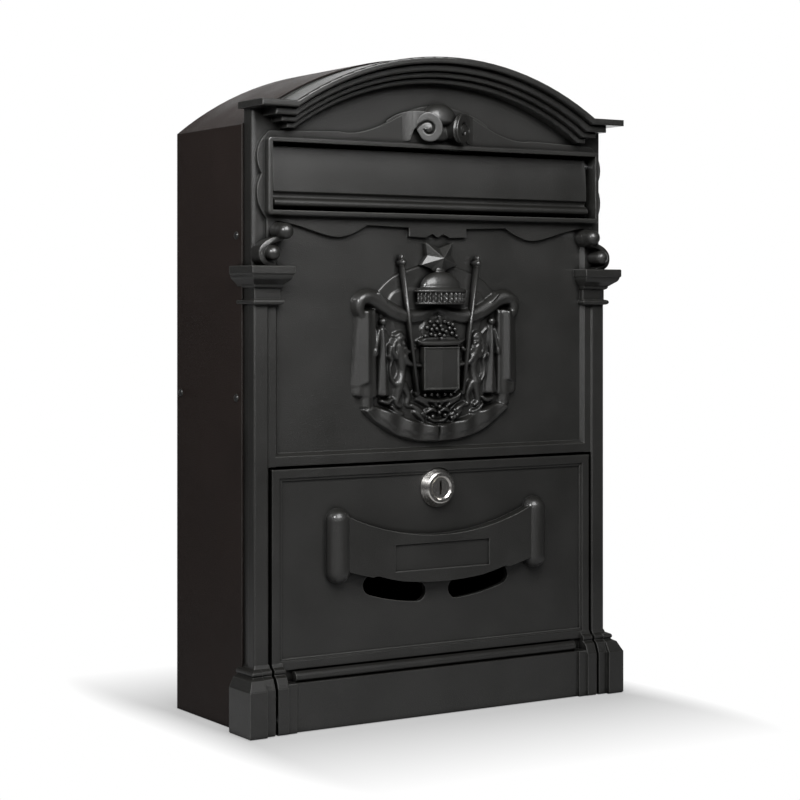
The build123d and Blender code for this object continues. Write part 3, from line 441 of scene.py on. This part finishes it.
def with_ribbon(relief):
    """Ribbon at the foot with broad waves, a crease along it and a seam in the middle."""
    lower_line = [(0, 0), (16, 1.2), (31.3, 5.4), (44, 13), (54.2, 21.4)]
    upper_line = [(45.6, 23.4), (34, 20.2), (22.5, 15.6), (11, 12.4), (0, 11.2)]
    ribbon = edge_distance(lines(lower_line, upper_line))
    lower_edge = np.interp(side, *np.array(smooth_line(lower_line, 6)).T)
    wave = np.cos(2 * math.pi * (side - 4.6) / 16.2 + 0.05 * (up - lower_edge))
    crease = np.clip((up - lower_edge - 4.2) / 0.9, 0, 1)
    seam = 1.3 * np.exp(-(across / 0.9)**2)
    band = 3.9 + 1.25 * wave * (0.55 + 0.45 * crease) + 0.65 * crease + seam
    return joined(relief, np.minimum(band, ribbon * DRAFT + 1.8), 0.4)


def crest_heights():
    relief = np.full_like(side, -1.0)
    for layer in (with_pavilion, with_drapes, with_swag, with_mound, with_beasts):
        relief = layer(relief)
    return with_ribbon(roped(relief, LEAVES_AND_CORD))


def smoothed(field):
    """One light pass of a 3 by 3 average."""
    padded = np.pad(field, 1, mode="edge")
    rows = (padded[:-2] + 2 * padded[1:-1] + padded[2:]) / 4
    return (rows[:, :-2] + 2 * rows[:, 1:-1] + rows[:, 2:]) / 4


def build(name, vertices, faces, finish, body, slot, stands_for, smooth=True, sharp_above=None):
    mesh = bpy.data.meshes.new(name)
    mesh.from_pydata(vertices, [], faces)
    mesh.validate()
    shells = bmesh.new()
    shells.from_mesh(mesh)
    bmesh.ops.recalc_face_normals(shells, faces=shells.faces)
    shells.to_mesh(mesh)
    shells.free()
    mesh.polygons.foreach_set("use_smooth", [smooth] * len(mesh.polygons))
    if sharp_above:
        mesh.set_sharp_from_angle(angle=math.radians(sharp_above))
    mesh.materials.append(finish)
    piece = bpy.data.objects.new(name, mesh)
    bpy.context.scene.collection.objects.link(piece)
    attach(piece, body)
    if stands_for:
        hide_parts(*stands_for)
    return piece


def relief_mesh(heights):
    """Vertices and faces of the relief, its walls brought down to the panel and a flat back."""
    top = np.maximum(heights, -WALL_SUNK)
    corners = [heights[:-1, :-1], heights[1:, :-1], heights[:-1, 1:], heights[1:, 1:]]
    rows, columns = np.nonzero(np.maximum.reduce(corners) > WALL_KEPT)
    used = np.zeros(heights.shape, bool)
    for dr in (0, 1):
        for dc in (0, 1):
            used[rows + dr, columns + dc] = True
    number = np.full(heights.shape, -1)
    number[used] = np.arange(used.sum())
    front = [place(x, CREST_PANEL + h, CREST_FOOT + u) for x, u, h in zip(across[used], up[used], top[used])]
    back = [place(x, CREST_PANEL - CREST_SUNK, CREST_FOOT + u) for x, u in zip(across[used], up[used])]
    count = len(front)
    faces = []
    edges = {}
    for r, c in zip(rows, columns):
        a, b, d, e = number[r, c], number[r, c + 1], number[r + 1, c + 1], number[r + 1, c]
        faces.append((a, b, d, e))
        for first, second in ((a, b), (b, d), (d, e), (e, a)):
            if (second, first) in edges:
                del edges[(second, first)]
            else:
                edges[(first, second)] = True
    back_faces = [tuple(count + i for i in reversed(face)) for face in faces]
    walls = [(second, first, count + first, count + second) for first, second in edges]
    return front + back, faces + back_faces + walls


def ring_solid(rings):
    """Closed solid through rings of points (across, height above the panel, up), each with as many points."""
    count = len(rings[0])
    points = [point for ring in rings for point in ring]
    faces = [tuple(reversed(range(count))), tuple(range(len(points) - count, len(points)))]
    for row in range(len(rings) - 1):
        for i in range(count):
            j = (i + 1) % count
            faces.append((row * count + i, row * count + j, (row + 1) * count + j, (row + 1) * count + i))
    return points, faces


def bulb(a, height, u, radius, steps=10, sides=16):
    """Ball on a stem that goes back to the panel."""
    rings = []
    for k in range(1, steps):
        tilt = math.pi * k / steps
        rings.append((radius * math.sin(tilt), height + radius * math.cos(tilt)))
    half = len(rings) // 2 + 1
    rings = [(radius * 0.06, height + radius), *rings[:half], (rings[half - 1][0], 0.0)]
    turns = [2 * math.pi * i / sides for i in range(sides)]
    return ring_solid([[(a + r * math.cos(t), h, u - r * math.sin(t)) for t in turns] for r, h in rings])


def tube(points, sides=12):
    """Round bar that runs across, through (across, height, up, radius) points."""
    turns = [2 * math.pi * i / sides for i in range(sides)]
    return ring_solid([[(a, h + r * math.sin(t), u + r * math.cos(t)) for t in turns]
                       for a, h, u, r in points])


def rib(start, end, half_width, foot):
    """Straight pole with a rounded face and walls down to a foot, between (across, height, up) points."""
    along = Vector((end[0] - start[0], 0, end[2] - start[2])).normalized()
    sideways = Vector((along.z, 0, -along.x))
    arc = [math.pi * i / 8 for i in range(9)]
    section = [(half_width, None)] + [(half_width * math.cos(t), half_width * (math.sin(t) - 1)) for t in arc]
    section.append((-half_width, None))
    rings = []
    for a, h, u in (start, end):
        ring = []
        for wide, rise in section:
            ring.append((a + sideways.x * wide, foot if rise is None else h + rise, u + sideways.z * wide))
        rings.append(ring)
    return ring_solid(rings)


def crown(axis=5.5, depth=0.45, steps=300):
    """Fluted band, rims, dome and neck, turned about an upright axis and carried back to the panel."""
    bars = math.radians(13.0)
    sweep = math.radians(150)
    rows = [(86.1, 17.2, 0), (86.4, 17.9, 0), (87.2, 17.9, 0), (87.4, 17.0, 0)]
    for k in range(15):
        u = 87.6 + 5.8 * k / 14
        rows.append((u, 16.7, 0.6 + 0.7 * abs(math.sin(2 * math.pi * k / 14))))
    rows += [(93.5, 17.0, 0), (93.7, 18.2, 0), (94.3, 18.5, 0), (95.0, 18.3, 0), (95.3, 16.9, 0),
             (96.2, 16.6, 0), (96.5, 14.15, 0)]
    for k in range(1, 13):
        tilt = math.radians(76) * k / 12
        rows.append((96.5 + 10.1 * math.sin(tilt), 14.15 * math.cos(tilt), 0))
    rows += [(106.7, 3.2, 0), (107.6, 3.4, 0), (108.4, 3.1, 0), (109.4, 2.2, 0), (110.6, 2.0, 0)]
    rings = []
    for u, half, flute in rows:
        ring = []
        for i in range(steps + 1):
            t = sweep * (2 * i / steps - 1)
            stands = max(math.cos(2 * math.pi * t / bars), -0.35) * flute if abs(t) < 1.5 else 0
            reach = half * depth + stands if abs(t) < math.pi / 2 else axis
            ring.append(((half + stands) * math.sin(t), axis + reach * math.cos(t), u))
        rings.append(ring)
    return ring_solid(rings)


def star(peak=10.0, edge=4.5):
    """Five-pointed star with facets that rise to its middle."""
    outline = [(0, 121.0), (-9.75, 124.6), (-8.7, 116.6), (-13.0, 110.8), (-5.9, 108.3), (0, 102.5),
               (5.9, 108.3), (13.0, 110.8), (8.7, 116.6), (9.75, 124.6)]
    count = len(outline)
    points = [(a, 0.0, u) for a, u in outline] + [(a, edge, u) for a, u in outline] + [(0.1, peak, 115.0)]
    faces = [tuple(range(count))]
    for i in range(count):
        j = (i + 1) % count
        faces += [(i, count + i, count + j, j), (count + i, 2 * count, count + j)]
    return points, faces


def shield(edge=7.4, ridge=8.3, rim=0.55):
    """Plain shield, folded along its middle, with a narrow rim."""
    columns = [-12.9, -12.1, -11.8, 0.0, 11.8, 12.1, 12.9]
    rows = [32.8, 33.6, 33.9, 58.3, 58.6, 59.4]
    points, faces = [], []
    for u in rows:
        for a in columns:
            field = edge + (ridge - edge) * (1 - abs(a) / 12.9)
            outer = abs(a) > 12 or u < 33.7 or u > 58.5
            points.append((a, field + (rim if outer else 0), u))
    front = len(points)
    points += [(a, 0.0, u) for u in rows for a in columns]
    wide, tall = len(columns), len(rows)
    for r in range(tall - 1):
        for c in range(wide - 1):
            i = r * wide + c
            faces.append((i, i + 1, i + wide + 1, i + wide))
            faces.append(tuple(front + k for k in (i + wide, i + wide + 1, i + 1, i)))
    border = ([c for c in range(wide)] + [r * wide + wide - 1 for r in range(1, tall)]
              + [(tall - 1) * wide + c for c in reversed(range(wide - 1))]
              + [r * wide for r in reversed(range(1, tall - 1))])
    for first, second in zip(border, border[1:] + border[:1]):
        faces.append((second, first, front + first, front + second))
    return points, faces


def gathered(solids, panel, foot):
    """Points in the row's frame and faces of solids drawn from a panel's face and a foot's height."""
    points, faces = [], []
    for solid_points, solid_faces in solids:
        faces += [tuple(len(points) + i for i in face) for face in solid_faces]
        points += [place(a, panel + h, foot + u) for a, h, u in solid_points]
    return points, faces


def cast(name, mesh, node, **shading):
    """Piece of the casting that stands for a node."""
    build(name, *mesh, cast_front, "box", "cast_front", [node], **shading)


PEARLS = [(-6.7, 75.3), (-1.6, 75.3), (3.9, 75.3), (9.5, 73.4), (-5.7, 70.4), (-2.1, 70.8), (4.9, 69.1),
          (7.4, 71.2), (11.5, 70.4), (-6.2, 67.4), (-0.1, 67.4), (12.6, 66.4), (-10.4, 66.4), (1.0, 72.6),
          (6.6, 74.4), (-4.0, 72.8), (9.2, 68.0), (2.2, 70.2), (-9.0, 71.6), (-3.2, 66.6), (3.4, 66.4)]
BEADS = [(-10.5, 29.4), (-5.8, 29.8), (-1.4, 29.6), (4.2, 29.8), (8.6, 29.4), (0.4, 22.2), (0.2, 18.4),
         (11.6, 19.6), (13.4, 16.6), (9.4, 15.0), (-12.2, 18.0), (-4.6, 16.0), (4.4, 16.6)]
EAVES = [(-18.2, 6.4, 64.4, 0.15), (-15.4, 6.3, 62.7, 0.8), (-12.4, 6.2, 61.8, 1.7), (0, 6.4, 61.6, 2.0),
         (12.4, 6.2, 61.8, 1.7), (15.4, 6.3, 62.7, 0.8), (18.2, 6.4, 64.4, 0.15)]
POLE_FOOT = 2.4
rounds = [crown(), tube(EAVES)]
for sign in (-1, 1):
    rounds.append(rib((sign * 28.2, 7.0, 117.0), (sign * 27.7, 7.0, 113.0), 1.2, POLE_FOOT))
    rounds.append(rib((sign * 27.6, 7.4, 112.0), (sign * 16.7, 7.4, 30.8), 1.1, POLE_FOOT))
    rounds += [bulb(sign * 27.5, 6.6, 112.0, 2.0), bulb(sign * 39.9, 3.4, 75.5, 2.3),
               bulb(sign * 16.7, 5.4, 30.8, 1.5)]
rounds += [bulb(a, 4.6, u, 1.45) for a, u in PEARLS] + [bulb(a, 4.2, u, 1.3) for a, u in BEADS]
cast("crest_relief", relief_mesh(smoothed(crest_heights())), "crest")
cast("crest_rounds", gathered(rounds, CREST_PANEL, CREST_FOOT), "crest")
cast("crest_facets", gathered([star(), shield()], CREST_PANEL, CREST_FOOT), "crest", smooth=False)


# Keystone: two splayed volutes that wind out of flat wings, with a dome between them

SPLAY = math.radians(30)
# A volute's eye: across, ahead of the pilaster face, above the underside
VOLUTE_MIDDLE = (13.2, 9.7, 364.5)
VOLUTE_SINK = 0.6      # mm that the band sinks in one turn
VOLUTE_OUTLINE = [(-7.0, -1.4), (-7.4, 4.6), (-4.6, 8.9), (0, 10.6), (5.2, 8.4), (8.6, 2.8), (8.4, -2.6),
                  (5.4, -6.6), (1.0, -7.9), (-3.8, -6.4), (-7.0, -1.4)]
# Turn, and the groove's radius there
VOLUTE_GROOVE = ([0, 0.06, 0.125, 0.25, 0.375, 0.5, 0.75, 1.0],
                 [7.6, 6.2, 5.2, 4.6, 3.9, 3.3, 2.7, 2.4])
# Share of the outline, and how far out of the face
VOLUTE_RIM = [(0.985, -0.1), (1.0, -0.4), (1.0, -1.1), (0.95, -1.5), (0.86, -2.0), (0.90, -2.5), (0.95, -3.1),
              (0.93, -3.6), (0.80, -4.4), (0.75, -5.2), (0.73, -11.0)]
WING_BACK = -1.5
# Across, ahead, and the top and the foot from the eye's height
WING_ROWS = [(37, -0.97, 4.6, -7.6), (33, -0.93, 7.1, -7.6), (29.5, -0.85, 8.8, -7.6),
             (26.5, -0.65, 9.9, -7.6), (23.8, -0.3, 10.7, -7.6), (21.2, 0.6, 11.2, -7.0),
             (20.0, 1.4, 11.4, -3.0), (19.2, 2.2, 11.4, 0.0), (17.2, 4.8, 11.3, 3.0),
             (14.4, 8.4, 10.7, 6.0)]


def on_volute(sign, u, v, w):
    """Row point from mm towards the middle, upward and out of a volute's face."""
    across_eye, ahead_eye, height_eye = VOLUTE_MIDDLE
    return (sign * (across_eye - u * math.cos(SPLAY) + w * math.sin(SPLAY)),
            ahead_eye + u * math.sin(SPLAY) + w * math.cos(SPLAY), height_eye + v)


def volute(sign):
    """Disc whose band winds once from the wing over the top to the eye and sinks on its way."""
    contour = [(u, v, (math.pi - math.atan2(v, u)) / (2 * math.pi))
               for u, v in smooth_line(VOLUTE_OUTLINE, 8)[:-1]]
    rings = []
    for share in (*np.linspace(0.02, 0.90, 26), 0.955):
        ring = []
        for u, v, turn in contour:
            radius = share * math.hypot(u, v)
            near = np.interp(turn, *VOLUTE_GROOVE)
            wound = turn + (1 if radius < near else 0)
            eye = 0.9 * math.exp(-(radius / 1.5)**2)
            cut = 1.2 * math.exp(-((radius - near) / 0.55)**2)
            ring.append(on_volute(sign, share * u, share * v, eye - cut - VOLUTE_SINK * wound))
        rings.append(ring)
    for share, out in VOLUTE_RIM:
        rings.append([on_volute(sign, share * u, share * v, out - VOLUTE_SINK * turn)
                      for u, v, turn in contour])
    return ring_solid(rings)


def wing(sign):
    """Band that leaves the top of a volute and dies away into the cartouche."""
    height = VOLUTE_MIDDLE[2]
    rings = []
    for a, ahead, top, low in WING_ROWS:
        rings.append([(sign * a, ahead, height + top), (sign * a, ahead, height + low),
                      (sign * a, WING_BACK, height + low), (sign * a, WING_BACK, height + top)])
    return ring_solid(rings)


def domed(centre, radii, below, back, steps=14, sides=48):
    """Half of an ellipsoid that looks forward, with a lower half of another height, carried straight back."""
    a, ahead, z = centre
    rings = []
    for k in range(steps + 1):
        tilt = max(math.pi / 2 * k / steps, 0.03)
        ring = []
        for t in np.arange(sides) * 2 * math.pi / sides:
            tall = radii[2] if t < math.pi else below
            ring.append((a + radii[0] * math.sin(tilt) * math.cos(t), ahead + radii[1] * math.cos(tilt),
                         z + tall * math.sin(tilt) * math.sin(t)))
        rings.append(ring)
    rings.append([(x, back, height) for x, _, height in rings[-1]])
    return ring_solid(rings)


rounds = [domed((0, 0.5, 370.2), (12.6, 8, 11.2), below=3.0, back=-3.7),
          domed((0, 0.0, 364.0), (9, 5, 5), below=7, back=-1.5), volute(-1), volute(1)]
cast("keystone_rounds", gathered(rounds, 0, 0), "keystone_scroll", sharp_above=50)
cast("keystone_wings", gathered([wing(-1), wing(1)], 0, 0), "keystone_scroll", sharp_above=40)


# Consoles: an S-shaped band between two balls, heights in mm above the plate

PLATE = -3.5
# Across, above the underside, half width
SCROLL_LINE = [(112.0, 295.2, 0.9), (114.6, 294.8, 1.5), (118.6, 293.8, 1.7), (122.9, 291.6, 1.9),
               (126.0, 288, 2.2), (126.3, 283.8, 2.1), (124.4, 280.8, 1.8), (121, 279.2, 1.5),
               (117.6, 278.6, 1.1)]
# Height above the plate, inset of the outline
SCROLL_RINGS = [(-0.6, 0), (9.4, 0), (10.0, 0.2), (10.2, 0.6)]
# Across, height above the plate, above the underside, radius
BALLS = [(112.6, 12.8, 299.2, 4.9), (112.6, 6.0, 299.2, 5.5), (120.2, 11.6, 286.3, 4.5)]


def scroll_band(sign):
    """S-shaped band with softened front edges."""
    line = smooth_line(SCROLL_LINE, 6)
    outer, inner = [], []
    for i, (a, z, half) in enumerate(line):
        before, after = line[max(i - 1, 0)], line[min(i + 1, len(line) - 1)]
        along = Vector((after[0] - before[0], after[1] - before[1])).normalized()
        outer.append((a - along.y * half, z + along.x * half, -along.y, along.x))
        inner.append((a + along.y * half, z - along.x * half, along.y, -along.x))
    contour = outer + inner[::-1]
    return ring_solid([[(sign * (a - inset * na), height, z - inset * nz) for a, z, na, nz in contour]
                       for height, inset in SCROLL_RINGS])


for sign, node in ((-1, "console_left"), (1, "console_right")):
    balls = [bulb(sign * a, ahead, z, radius, steps=18, sides=36) for a, ahead, z, radius in BALLS]
    cast(node + "_scroll", gathered(balls + [scroll_band(sign)], PLATE, 0), node, sharp_above=40)


# Stage: pale floor, white surroundings and soft lamps

def shown_white(tree, shade, backdrop, shown=1.0):
    """A shader mixed with plain white: for the camera by one share, in metal and glass by another."""
    paths = tree.nodes.new("ShaderNodeLightPath")
    mirrored = figured(tree, "MAXIMUM", paths.outputs["Is Glossy Ray"], paths.outputs["Is Transmission Ray"])
    share = figured(tree, "MAXIMUM", figured(tree, "MULTIPLY", paths.outputs["Is Camera Ray"], shown),
                    figured(tree, "MULTIPLY", mirrored, backdrop))
    kind = "ShaderNodeBackground" if shade.node.type == "BACKGROUND" else "ShaderNodeEmission"
    white = tree.nodes.new(kind)
    white.inputs["Color"].default_value = (1, 1, 1, 1)
    white.inputs["Strength"].default_value = 1.0
    mix = tree.nodes.new("ShaderNodeMixShader")
    tree.links.new(share, mix.inputs["Fac"])
    tree.links.new(shade, mix.inputs[1])
    tree.links.new(white.outputs[0], mix.inputs[2])
    return mix.outputs[0]


ROOM_GREY = (0.80, 0.80, 0.80, 1)
ROOM_STRENGTH = 0.05
VIEW_LINE = (0.56, 0.83)       # x and y of the camera's view, towards the backdrop
BACKDROP_EDGE = (0.70, 0.85)   # cosine from that line at which the backdrop starts and is full
world = bpy.data.worlds.new("studio")
bpy.context.scene.world = world
world.use_nodes = True
tree = world.node_tree
room = tree.nodes["Background"]
room.inputs["Color"].default_value = ROOM_GREY
room.inputs["Strength"].default_value = ROOM_STRENGTH
facing = axes(tree, tree.nodes.new("ShaderNodeTexCoord").outputs["Generated"])
behind = figured(tree, "ADD", figured(tree, "MULTIPLY", facing["X"], VIEW_LINE[0]),
                 figured(tree, "MULTIPLY", facing["Y"], VIEW_LINE[1]))
backdrop = ranged(tree, behind, 0, 1, *BACKDROP_EDGE)
tree.links.new(shown_white(tree, room.outputs[0], backdrop), tree.nodes["World Output"].inputs["Surface"])

FLOOR_RADIUS = 0.75
FLOOR_SIDES = 96
SHADOW_WIDE = 0.030            # reach of the painted shadow that greys the floor near the box, beside and before it, where the floor also keeps its real shadow, m
SHADOW_LONG = 0.15
SHADOW_SHARE = 0.40            # share of plain white in the painted shadow next to the box
FLOOR_GAP = 0.0005             # below the underside, m
PAPER_GREY = (0.25, 0.25, 0.25, 1)
PAPER_ROUGHNESS = 0.9
floor_height = cad_low.z - FLOOR_GAP
rim = [2 * math.pi * i / FLOOR_SIDES for i in range(FLOOR_SIDES)]
floor_mesh = bpy.data.meshes.new("floor")
floor_mesh.from_pydata([(FLOOR_RADIUS * math.cos(t), FLOOR_RADIUS * math.sin(t), floor_height) for t in rim],
                       [], [tuple(range(FLOOR_SIDES))])
floor = bpy.data.objects.new("floor", floor_mesh)
bpy.context.scene.collection.objects.link(floor)
paper, tree, shader = material("paper")
shader.inputs["Base Color"].default_value = PAPER_GREY
shader.inputs["Roughness"].default_value = PAPER_ROUGHNESS
spot = axes(tree, object_coordinates(tree))


def past(value, middle, half):
    """Distance of a value past the ends of a span."""
    from_middle = figured(tree, "ABSOLUTE", figured(tree, "SUBTRACT", value, middle))
    return figured(tree, "MAXIMUM", figured(tree, "SUBTRACT", from_middle, half), 0.0)


def squared_share(value, reach):
    return figured(tree, "POWER", figured(tree, "DIVIDE", value, reach), 2.0)


middle, half = (cad_high + cad_low) / 2, (cad_high - cad_low) / 2
# painted shadow: the floor shows less plain white near the box, so it is greyer there as well as in its real
# shadow
beside = squared_share(past(spot["X"], 0.0, half.x), SHADOW_WIDE)
before = squared_share(past(spot["Y"], middle.y, half.y), SHADOW_LONG)
away = figured(tree, "SQRT", figured(tree, "ADD", beside, before))
shown = ranged(tree, away, SHADOW_SHARE, 1.0, 0.0, 1.0)
lit_paper = shown_white(tree, shader.outputs[0], 0.0, shown)
tree.links.new(lit_paper, tree.nodes["Material Output"].inputs["Surface"])
floor_mesh.materials.append(paper)


def softbox(name, aim, azimuth, elevation, distance, size, power):
    """Square lamp that faces a point of the box; azimuth 0 is ahead of the front, 90 to its right."""
    turn, rise = math.radians(azimuth), math.radians(elevation)
    away = Vector((math.sin(turn) * math.cos(rise), -math.cos(turn) * math.cos(rise), math.sin(rise)))
    data = bpy.data.lights.new(name, "AREA")
    data.shape = "SQUARE"
    data.size = size
    data.energy = power
    lamp = bpy.data.objects.new(name, data)
    bpy.context.scene.collection.objects.link(lamp)
    lamp.location = Vector(aim) + away * distance
    lamp.rotation_mode = "QUATERNION"
    lamp.rotation_quaternion = away.to_track_quat("Z", "Y")
    lamp.visible_camera = False
    return lamp


softbox("left", (-0.05, -0.10, 0.08), azimuth=-62, elevation=24, distance=0.65, size=0.09, power=2.6)
softbox("front", (-0.17, -0.10, 0.21), azimuth=-2, elevation=33, distance=0.60, size=0.5, power=9.3)
softbox("back", (0.0, 0.0, 0.05), azimuth=150, elevation=30, distance=0.9, size=0.6, power=2.5)


# Camera fitted to the photograph

camera_data = bpy.data.cameras.new("camera")
camera_data.sensor_width = 36
camera_data.lens = 94.2
camera_data.shift_x = -0.1636
camera_data.shift_y = -0.1195
camera = bpy.data.objects.new("camera", camera_data)
bpy.context.scene.collection.objects.link(camera)
camera.location = (-0.6926, -1.2210, 0.0557)
camera.rotation_euler = (math.radians(90), 0, math.radians(-34.35))
bpy.context.scene.camera = camera

bpy.context.scene.view_settings.view_transform = "Standard"
